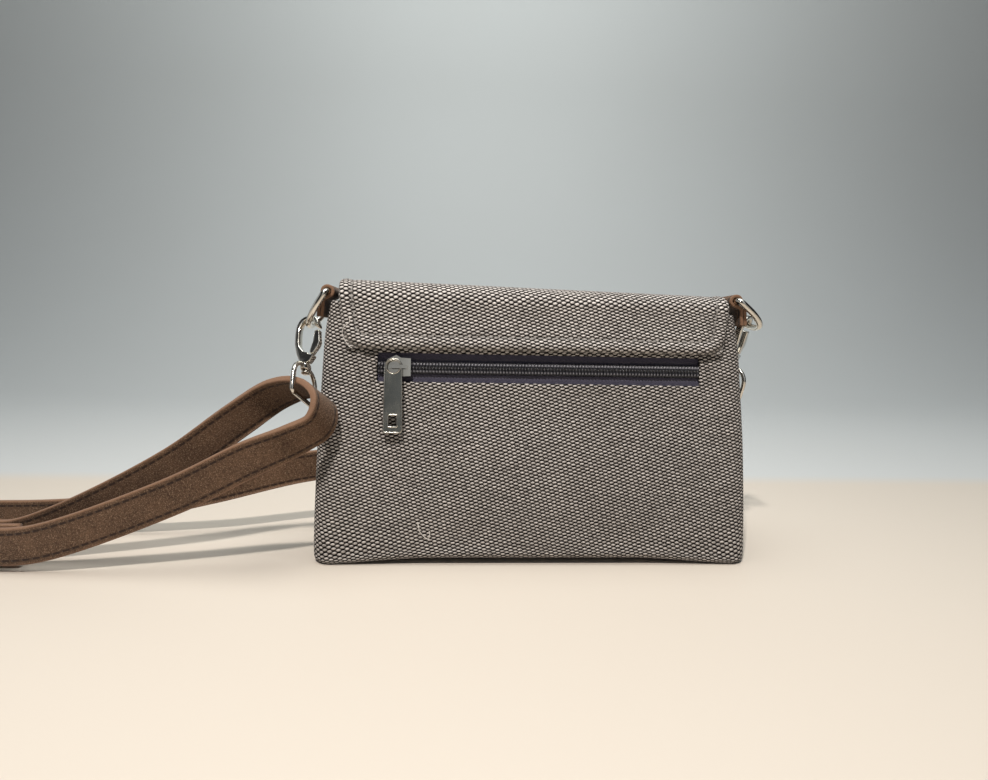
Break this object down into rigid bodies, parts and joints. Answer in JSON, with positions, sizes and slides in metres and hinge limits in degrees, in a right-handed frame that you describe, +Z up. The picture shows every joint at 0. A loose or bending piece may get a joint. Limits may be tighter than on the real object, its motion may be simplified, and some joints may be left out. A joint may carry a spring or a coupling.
{
  "type": "clutch bag",
  "caption": "Small canvas flap-over clutch bag with a back zip pocket, corner D-rings, swivel trigger clasps and a long adjustable leather strap.",
  "frame": {"origin": "centre of the bag's flat base, on the surface it stands on", "axes": "+X along the bag to the right as seen from the zip's side, +Y from the zip's side to the flap's side, +Z up"},
  "size_m": [0.4699, 0.0769, 0.1334],
  "materials": {
    "canvas": "coarse woven canvas",
    "leather": "soft matt, lightly worn",
    "zip_tape": "fine woven tape",
    "zip_coil": "satin",
    "nickel": "polished",
    "satin_nickel": "satin"
  },
  "bodies": {
    "bag": {"pouch": "canvas", "flap": "canvas", "flap_snap": "satin_nickel", "zip_tape": "zip_tape", "zip_coil": "zip_coil", "zip_slider": "satin_nickel", "left_tab": "leather", "right_tab": "leather", "left_d_ring": "nickel", "right_d_ring": "nickel", "left_swivel_ring": "nickel", "right_swivel_ring": "nickel", "strap": "leather", "strap_slide": "nickel"},
    "pull": {"zip_pull": "satin_nickel"},
    "left_clasp": {"left_hook": "nickel"},
    "left_clasp_gate": {"left_gate": "nickel"},
    "right_clasp": {"right_hook": "nickel"},
    "right_clasp_gate": {"right_gate": "nickel"}
  },
  "joints": [
    {"name": "zip_pull_swing", "type": "hinge", "parent": "bag", "child": "pull", "pos_m": [-0.06623, -0.0156, 0.09256], "axis": [0, -0.991, 0.1341], "range_deg": [-95, 28]},
    {"name": "left_swivel", "type": "hinge", "parent": "bag", "child": "left_clasp", "pos_m": [-0.10675, -0.01318, 0.09163], "axis": [-0.0698, 0.5039, 0.8609], "range_deg": [-10, 34]},
    {"name": "left_gate_hinge", "type": "hinge", "parent": "left_clasp", "child": "left_clasp_gate", "pos_m": [-0.10424, -0.01024, 0.09842], "axis": [-0.2835, -0.8375, 0.4672], "range_deg": [0, 36], "stiffness_Nm_per_rad": 0.002, "springref_deg": -20.05},
    {"name": "right_swivel", "type": "hinge", "parent": "bag", "child": "right_clasp", "pos_m": [0.10777, 0.01347, 0.09456], "axis": [0.0748, -0.3104, 0.9477], "range_deg": [-5, 28]},
    {"name": "right_gate_hinge", "type": "hinge", "parent": "right_clasp", "child": "right_clasp_gate", "pos_m": [0.1107, 0.01325, 0.10181], "axis": [0.647, -0.708, -0.283], "range_deg": [0, 36], "stiffness_Nm_per_rad": 0.002, "springref_deg": -20.05}
  ]
}
